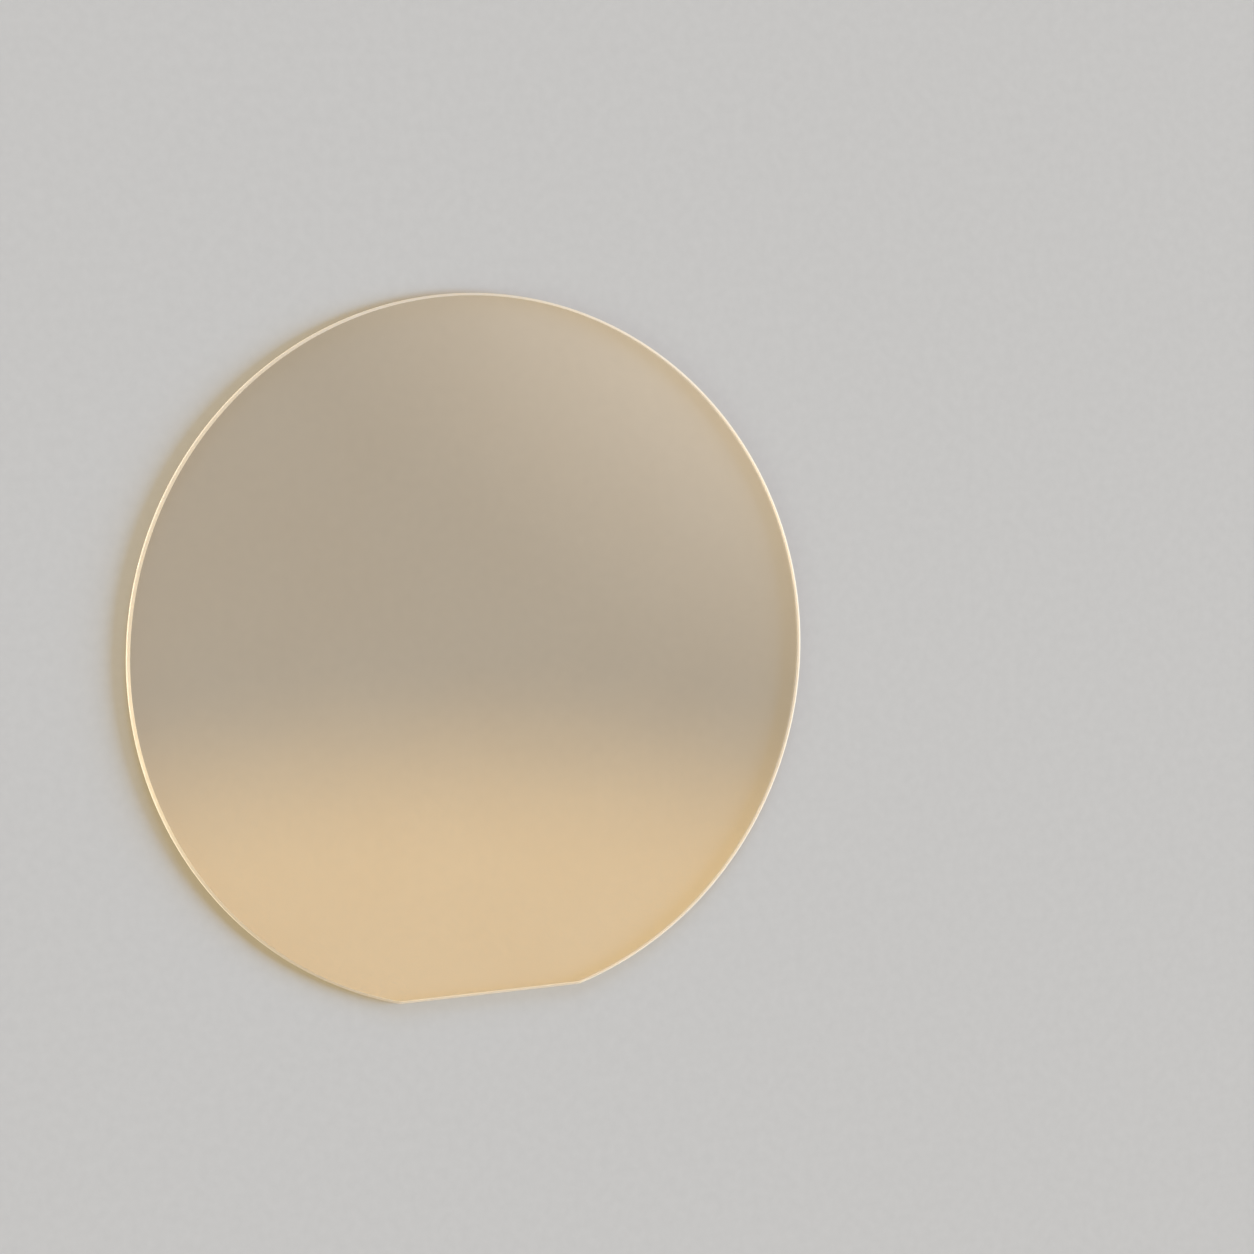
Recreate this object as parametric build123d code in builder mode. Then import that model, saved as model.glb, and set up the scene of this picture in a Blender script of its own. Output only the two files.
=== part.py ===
from build123d import *
from math import sqrt
import os

# Lithium niobate wafer: one slice of a single crystal boule, sawn, edge ground and polished on both
# faces. It is a thin disc with a single orientation flat, and it lies on its back face.
# Frame: the origin is the centre of the round rim, on the back face. +Z points out of the front face,
# and the flat looks along -Y.

# Driving dimensions, in millimetres.
wafer_diameter = 76.2  # round rim, a 3 inch blank
wafer_thickness = 1.0  # between the two polished faces
flat_length = 20.5  # primary flat, along its chord, before its ends are rounded
flat_end_radius = 1.0  # rounding where the flat runs out into the rim
edge_bevel = 0.25  # 45 degree bevel ground on both faces, as its width on the face

wafer_radius = wafer_diameter / 2
flat_distance = sqrt(wafer_radius**2 - (flat_length / 2) ** 2)  # from the centre to the flat
flat_depth = wafer_radius - flat_distance  # the height of the sliver that the flat grinds away

with BuildPart() as wafer:
    with BuildSketch(Plane.XY) as outline:
        Circle(wafer_radius)
        # The orientation flat takes one sliver off the disc, along a chord square to Y.
        with Locations((0, -wafer_radius)):
            Rectangle(
                wafer_diameter,
                flat_depth,
                align=(Align.CENTER, Align.MIN),
                mode=Mode.SUBTRACT,
            )
        # Edge grinding leaves the two ends of the flat slightly round.
        flat_ends = outline.vertices().group_by(Axis.Y)[0]
        fillet(flat_ends, radius=flat_end_radius)
    extrude(amount=wafer_thickness)
    # The same grinding wheel bevels the whole outline, rim, flat and corners, on both faces.
    back_outline = wafer.faces().sort_by(Axis.Z)[0].edges()
    front_outline = wafer.faces().sort_by(Axis.Z)[-1].edges()
    chamfer(back_outline + front_outline, length=edge_bevel)

os.makedirs("parts", exist_ok=True)
wafer.part.label = "wafer"
export_step(wafer.part, "parts/wafer.step")
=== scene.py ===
from math import asin, cos, radians, sin, tan

import bpy
from mathutils import Matrix, Vector


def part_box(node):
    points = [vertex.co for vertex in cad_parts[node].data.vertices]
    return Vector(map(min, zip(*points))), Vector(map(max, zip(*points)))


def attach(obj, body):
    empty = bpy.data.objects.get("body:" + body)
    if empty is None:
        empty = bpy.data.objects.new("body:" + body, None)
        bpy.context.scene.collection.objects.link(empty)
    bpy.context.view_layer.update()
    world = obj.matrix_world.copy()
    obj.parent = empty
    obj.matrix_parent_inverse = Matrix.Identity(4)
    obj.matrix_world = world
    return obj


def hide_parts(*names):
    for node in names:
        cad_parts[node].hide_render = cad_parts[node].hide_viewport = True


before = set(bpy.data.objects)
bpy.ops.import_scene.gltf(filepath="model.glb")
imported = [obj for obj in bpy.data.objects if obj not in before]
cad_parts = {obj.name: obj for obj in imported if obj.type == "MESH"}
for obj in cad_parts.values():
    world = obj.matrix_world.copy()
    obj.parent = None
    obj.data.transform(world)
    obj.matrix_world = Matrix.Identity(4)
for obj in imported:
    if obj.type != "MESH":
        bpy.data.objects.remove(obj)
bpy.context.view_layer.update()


# ---- Wafer -------------------------------------------------------------------------------------
# One slice of a lithium niobate crystal, clear with an amber tint, sawn from the boule. Its rim and its
# orientation flat are ground with a 45 degree bevel on both sides and stay matt, so that they catch the
# light as a bright line. Both faces are polished to a mirror.

wafer_low, wafer_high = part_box("wafer")
rim_radius = wafer_high.y
flat_distance = -wafer_low.y
thickness = wafer_high.z - wafer_low.z
edge_bevel = 0.00025
flat_end_radius = 0.001
rim_segments = 360
flat_end_segments = 6
near = 1e-6

bpy.ops.object.select_all(action="DESELECT")
bpy.ops.mesh.primitive_cylinder_add(
    vertices=rim_segments,
    radius=rim_radius,
    depth=thickness,
    end_fill_type="NGON",
    location=(0, 0, wafer_low.z + thickness / 2),
)
wafer = bpy.context.object
wafer.name = "crystal_wafer"
wafer.data.name = "crystal_wafer"
bpy.ops.object.transform_apply(location=True, rotation=True, scale=True)


def select_edges(mesh, wanted):
    """Selects the edges whose two ends pass the test, and stays in edit mode."""
    bpy.ops.object.mode_set(mode="EDIT")
    bpy.ops.mesh.select_mode(type="EDGE")
    bpy.ops.mesh.select_all(action="DESELECT")
    bpy.ops.object.mode_set(mode="OBJECT")
    for edge in mesh.edges:
        start, end = (mesh.vertices[i].co for i in edge.vertices)
        edge.select = wanted(start, end)
    bpy.ops.object.mode_set(mode="EDIT")


def at_flat_end(start, end):
    upright = abs(start.z - end.z) > thickness / 2
    return upright and abs(start.y + flat_distance) < near and abs(end.y + flat_distance) < near


def round_a_face(start, end):
    return abs(start.z - end.z) < near


# The orientation flat is one straight cut across the disc.
bpy.ops.object.mode_set(mode="EDIT")
bpy.ops.mesh.select_all(action="SELECT")
bpy.ops.mesh.bisect(
    plane_co=(0, -flat_distance, 0),
    plane_no=(0, -1, 0),
    use_fill=True,
    clear_outer=True,
    threshold=near,
)

# Its two ends are slightly round, where the wheel runs out into the rim.
half_flat = (rim_radius**2 - flat_distance**2) ** 0.5
flat_end_turn = asin(half_flat / rim_radius)
select_edges(wafer.data, at_flat_end)
bpy.ops.mesh.bevel(
    offset=flat_end_radius * tan(flat_end_turn / 2),
    offset_type="OFFSET",
    segments=flat_end_segments,
    profile=0.5,
    affect="EDGES",
)

# The ground bevel follows the whole outline, on both faces.
select_edges(wafer.data, round_a_face)
bpy.ops.mesh.bevel(offset=edge_bevel, offset_type="OFFSET", segments=1, affect="EDGES")
bpy.ops.mesh.select_all(action="SELECT")
bpy.ops.mesh.remove_doubles(threshold=near)
bpy.ops.mesh.normals_make_consistent(inside=False)
bpy.ops.object.mode_set(mode="OBJECT")
bpy.ops.object.shade_smooth_by_angle(angle=radians(30))

crystal_ior = 2.25
noise_trough = 0.3
noise_crest = 0.7


def noise_on_piece(material, size, detail, stretch=(1, 1, 1)):
    """Noise in the piece's own coordinates: size is the width of its blotches, in metres."""
    nodes = material.node_tree.nodes
    links = material.node_tree.links
    place = nodes.new("ShaderNodeTexCoord")
    scale = nodes.new("ShaderNodeMapping")
    scale.inputs["Scale"].default_value = stretch
    noise = nodes.new("ShaderNodeTexNoise")
    noise.inputs["Scale"].default_value = 1 / size
    noise.inputs["Detail"].default_value = detail
    links.new(place.outputs["Object"], scale.inputs["Vector"])
    links.new(scale.outputs["Vector"], noise.inputs["Vector"])
    return noise.outputs["Fac"]


def between(material, noise, low, high):
    """Spreads a noise, from its troughs to its crests, over a range of numbers or of colours."""
    nodes = material.node_tree.nodes
    links = material.node_tree.links
    if isinstance(low, tuple):
        ramp = nodes.new("ShaderNodeValToRGB")
        ramp.color_ramp.elements[0].position = noise_trough
        ramp.color_ramp.elements[0].color = low
        ramp.color_ramp.elements[1].position = noise_crest
        ramp.color_ramp.elements[1].color = high
        links.new(noise, ramp.inputs["Fac"])
        return ramp.outputs["Color"]
    spread = nodes.new("ShaderNodeMapRange")
    spread.inputs["From Min"].default_value = noise_trough
    spread.inputs["From Max"].default_value = noise_crest
    spread.inputs["To Min"].default_value = low
    spread.inputs["To Max"].default_value = high
    links.new(noise, spread.inputs["Value"])
    return spread.outputs["Result"]


def bump(material, noise, depth):
    """Relief on the material's shader: depth is the height of the noise from 0 to 1, in metres."""
    nodes = material.node_tree.nodes
    links = material.node_tree.links
    relief = nodes.new("ShaderNodeBump")
    relief.inputs["Distance"].default_value = depth
    links.new(noise, relief.inputs["Height"])
    links.new(relief.outputs["Normal"], nodes["Principled BSDF"].inputs["Normal"])


def frosted(material, surface, colour, share):
    """A ground surface: a share of the light that falls on it spreads out on its far side."""
    nodes = material.node_tree.nodes
    links = material.node_tree.links
    frost = nodes.new("ShaderNodeBsdfTranslucent")
    frost.inputs["Color"].default_value = colour
    mix = nodes.new("ShaderNodeMixShader")
    mix.inputs["Fac"].default_value = share
    links.new(surface, mix.inputs[1])
    links.new(frost.outputs["BSDF"], mix.inputs[2])
    return mix.outputs["Shader"]


def let_light_through(material, surface, colour):
    """Lets lamp light, and light that comes off what lies behind, straight through the surface."""
    nodes = material.node_tree.nodes
    links = material.node_tree.links
    path = nodes.new("ShaderNodeLightPath")
    light_only = nodes.new("ShaderNodeMath")
    light_only.operation = "MAXIMUM"
    clear = nodes.new("ShaderNodeBsdfTransparent")
    clear.inputs["Color"].default_value = colour
    mix = nodes.new("ShaderNodeMixShader")
    links.new(path.outputs["Is Shadow Ray"], light_only.inputs[0])
    links.new(path.outputs["Is Diffuse Ray"], light_only.inputs[1])
    links.new(light_only.outputs["Value"], mix.inputs["Fac"])
    links.new(surface, mix.inputs[1])
    links.new(clear.outputs["BSDF"], mix.inputs[2])
    links.new(mix.outputs["Shader"], nodes["Material Output"].inputs["Surface"])


# The polished faces have a faint haze, and a very slight waviness left by the polishing pad.
face_tint = (0.98, 0.93, 0.84, 1)
face_tint_cloudy = (0.965, 0.905, 0.805, 1)
face_lets_through = (0.88, 0.82, 0.73, 1)
face_roughness = 0.004
haze_roughness = 0.03
cloud_size = 0.018
haze_size = 0.007
wave_size = 0.012
wave_depth = 0.000004

polished = bpy.data.materials.new("polished amber crystal")
polished.use_nodes = True
shader = polished.node_tree.nodes["Principled BSDF"]
shader.inputs["Transmission Weight"].default_value = 1
shader.inputs["IOR"].default_value = crystal_ior
cloud = noise_on_piece(polished, cloud_size, detail=2)
tint = between(polished, cloud, face_tint, face_tint_cloudy)
polished.node_tree.links.new(tint, shader.inputs["Base Color"])
haze = noise_on_piece(polished, haze_size, detail=4)
roughness = between(polished, haze, face_roughness, haze_roughness)
polished.node_tree.links.new(roughness, shader.inputs["Roughness"])
bump(polished, noise_on_piece(polished, wave_size, detail=1), wave_depth)
let_light_through(polished, shader.outputs["BSDF"], face_lets_through)

# The ground edge is matt, rougher and deeper in colour in its pits, with fine lines along the rim where
# the wheel passed.
edge_colour = (1.0, 0.95, 0.86, 1)
edge_colour_deep = (0.98, 0.87, 0.70, 1)
edge_lets_through = (0.80, 0.64, 0.36, 1)
edge_clearness = 0.1
edge_frost = 0.4
edge_frost_colour = (1.0, 0.92, 0.78, 1)
crest_roughness = 0.28
pit_roughness = 0.45
grit_size = 0.0006
wheel_line_size = 0.0012
wheel_line_stretch = (1, 1, 24)
wheel_line_depth = 0.00001

ground = bpy.data.materials.new("ground amber edge")
ground.use_nodes = True
shader = ground.node_tree.nodes["Principled BSDF"]
shader.inputs["Transmission Weight"].default_value = edge_clearness
shader.inputs["IOR"].default_value = crystal_ior
grit = noise_on_piece(ground, grit_size, detail=3)
edge_shade = between(ground, grit, edge_colour_deep, edge_colour)
ground.node_tree.links.new(edge_shade, shader.inputs["Base Color"])
roughness = between(ground, grit, pit_roughness, crest_roughness)
ground.node_tree.links.new(roughness, shader.inputs["Roughness"])
wheel_lines = noise_on_piece(ground, wheel_line_size, detail=4, stretch=wheel_line_stretch)
bump(ground, wheel_lines, wheel_line_depth)
ground_surface = frosted(ground, shader.outputs["BSDF"], edge_frost_colour, edge_frost)
let_light_through(ground, ground_surface, edge_lets_through)

wafer.data.materials.append(polished)
wafer.data.materials.append(ground)
level_face = 0.99
for face in wafer.data.polygons:
    face.material_index = 0 if abs(face.normal.z) > level_face else 1

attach(wafer, "root")
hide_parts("wafer")


# ---- Floor -------------------------------------------------------------------------------------
# A plain pale matt board with a very fine grain. It lies a hair under the wafer, so that the two don't
# coincide, and reaches to the horizon.
floor_gap = 0.00002
floor_size = 60
board_colour = (0.548, 0.556, 0.572, 1)
board_colour_light = (0.568, 0.576, 0.592, 1)
board_roughness = 0.9
board_sheen = 0.15
grain_size = 0.0011

bpy.ops.object.select_all(action="DESELECT")
bpy.ops.mesh.primitive_plane_add(size=floor_size, location=(0, 0, wafer_low.z - floor_gap))
floor = bpy.context.object
floor.name = "floor"
board = bpy.data.materials.new("pale board")
board.use_nodes = True
shader = board.node_tree.nodes["Principled BSDF"]
shader.inputs["Roughness"].default_value = board_roughness
shader.inputs["Specular IOR Level"].default_value = board_sheen
grain = noise_on_piece(board, grain_size, detail=3)
board_shade = between(board, grain, board_colour, board_colour_light)
board.node_tree.links.new(board_shade, shader.inputs["Base Color"])
floor.data.materials.append(board)


# ---- Light -------------------------------------------------------------------------------------
# A low key lamp on the right lights the ground edge, with a weaker one behind and a warm one on the
# left. The room is a pale sweep, dimmer overhead, with soft panels for the polished face to mirror.
def towards(azimuth, elevation):
    """The direction of a lamp or panel: azimuth from +X towards +Y, both angles in degrees."""
    level = cos(radians(elevation))
    turn = radians(azimuth)
    return Vector((cos(turn) * level, sin(turn) * level, sin(radians(elevation))))


def far_lamp(name, direction, width, strength, colour):
    """A lamp so far away that it lights the whole floor evenly: width is its angle in the sky."""
    light = bpy.data.lights.new(name, "SUN")
    light.angle = radians(width)
    light.energy = strength
    light.color = colour
    lamp = bpy.data.objects.new(name, light)
    lamp.location = direction
    lamp.rotation_mode = "QUATERNION"
    lamp.rotation_quaternion = direction.to_track_quat("Z", "Y")
    bpy.context.scene.collection.objects.link(lamp)


far_lamp("key", towards(-6, 20), width=30, strength=5.2, colour=(0.97, 0.985, 1))
far_lamp("back", towards(85, 26), width=30, strength=1.3, colour=(0.97, 0.985, 1))
far_lamp("fill", towards(205, 22), width=36, strength=1.4, colour=(1, 0.74, 0.38))

room_light = 0.12
room_light_colour = (0.94, 0.97, 1.0, 1)
sweep_colour = (0.605, 0.597, 0.588, 1)

# The sweep keeps its full brightness up to the first height, and is down to its overhead share at the
# second, where straight up is 1.
full_sweep_height = 0.1
dim_sweep_height = 0.9
overhead_share = 0.72

world = bpy.data.worlds.new("studio")
world.use_nodes = True
nodes = world.node_tree.nodes
links = world.node_tree.links
light_of_room = nodes["Background"]
light_of_room.inputs["Color"].default_value = room_light_colour
light_of_room.inputs["Strength"].default_value = room_light
direction = nodes.new("ShaderNodeTexCoord")
parts = nodes.new("ShaderNodeSeparateXYZ")
darken = nodes.new("ShaderNodeMapRange")
darken.inputs["From Min"].default_value = full_sweep_height
darken.inputs["From Max"].default_value = dim_sweep_height
darken.inputs["To Min"].default_value = 1
darken.inputs["To Max"].default_value = overhead_share
sweep = nodes.new("ShaderNodeBackground")
sweep.inputs["Color"].default_value = sweep_colour
links.new(direction.outputs["Generated"], parts.inputs["Vector"])
links.new(parts.outputs["Z"], darken.inputs["Value"])
links.new(darken.outputs["Result"], sweep.inputs["Strength"])


def add_panel(room, centre, full, edge, brightness, colour):
    """Adds a round panel to the room: full within one angle of its centre, and gone at the other."""
    facing = nodes.new("ShaderNodeVectorMath")
    facing.operation = "DOT_PRODUCT"
    facing.inputs[1].default_value = centre
    feather = nodes.new("ShaderNodeMapRange")
    feather.interpolation_type = "SMOOTHSTEP"
    feather.inputs["From Min"].default_value = cos(radians(edge))
    feather.inputs["From Max"].default_value = cos(radians(full))
    feather.inputs["To Min"].default_value = 0
    feather.inputs["To Max"].default_value = brightness
    panel = nodes.new("ShaderNodeBackground")
    panel.inputs["Color"].default_value = colour
    both = nodes.new("ShaderNodeAddShader")
    links.new(direction.outputs["Generated"], facing.inputs[0])
    links.new(facing.outputs["Value"], feather.inputs["Value"])
    links.new(feather.outputs["Result"], panel.inputs["Strength"])
    links.new(room, both.inputs[0])
    links.new(panel.outputs["Background"], both.inputs[1])
    return both.outputs["Shader"]


warm = (1, 0.61, 0.17, 1)
pale = (1, 0.86, 0.70, 1)
warm_front = towards(-57.2, 57.6)
high_right = towards(12, 59.5)
low_back = towards(112, 27)
low_right = towards(-22, 20)
seen_room = sweep.outputs["Background"]
seen_room = add_panel(seen_room, warm_front, full=18.5, edge=21.5, brightness=1.06, colour=warm)
seen_room = add_panel(seen_room, high_right, full=0, edge=14.2, brightness=1.4, colour=pale)
seen_room = add_panel(seen_room, low_back, full=8, edge=25, brightness=1.1, colour=pale)
seen_room = add_panel(seen_room, low_right, full=8, edge=29, brightness=0.7, colour=pale)

# The panels and the sweep are for what is seen, mirrored or behind the crystal, and the plain room
# light is for what falls on matt surfaces.
path = nodes.new("ShaderNodeLightPath")
mirrored_or_behind = nodes.new("ShaderNodeMath")
mirrored_or_behind.operation = "MAXIMUM"
seen = nodes.new("ShaderNodeMath")
seen.operation = "MAXIMUM"
room = nodes.new("ShaderNodeMixShader")
links.new(path.outputs["Is Glossy Ray"], mirrored_or_behind.inputs[0])
links.new(path.outputs["Is Transmission Ray"], mirrored_or_behind.inputs[1])
links.new(path.outputs["Is Camera Ray"], seen.inputs[0])
links.new(mirrored_or_behind.outputs["Value"], seen.inputs[1])
links.new(seen.outputs["Value"], room.inputs["Fac"])
links.new(light_of_room.outputs["Background"], room.inputs[1])
links.new(seen_room, room.inputs[2])
links.new(room.outputs["Shader"], nodes["World Output"].inputs["Surface"])
bpy.context.scene.world = world
bpy.context.scene.view_settings.view_transform = "Standard"


# ---- Camera ------------------------------------------------------------------------------------
# A long lens that looks down on the face from the left, with the flat at the bottom of the picture.
# Its place, its aim and the way up of its picture are in metres, in the part's own frame.
camera_place = Vector((-0.15303, 0.04105, 0.41586))
aim = Vector((0.0179, 0.00136, 0))
picture_up = Vector((0.0734, 0.9952, -0.0648))

back = (camera_place - aim).normalized()
right = picture_up.cross(back).normalized()
up = back.cross(right)
camera_data = bpy.data.cameras.new("camera")
camera_data.lens = 120
camera_data.sensor_width = 36
camera_data.clip_start = 0.01
camera_data.clip_end = 100
camera = bpy.data.objects.new("camera", camera_data)
camera.matrix_world = Matrix((
    (right.x, up.x, back.x, camera_place.x),
    (right.y, up.y, back.y, camera_place.y),
    (right.z, up.z, back.z, camera_place.z),
    (0, 0, 0, 1),
))
bpy.context.scene.collection.objects.link(camera)
bpy.context.scene.camera = camera
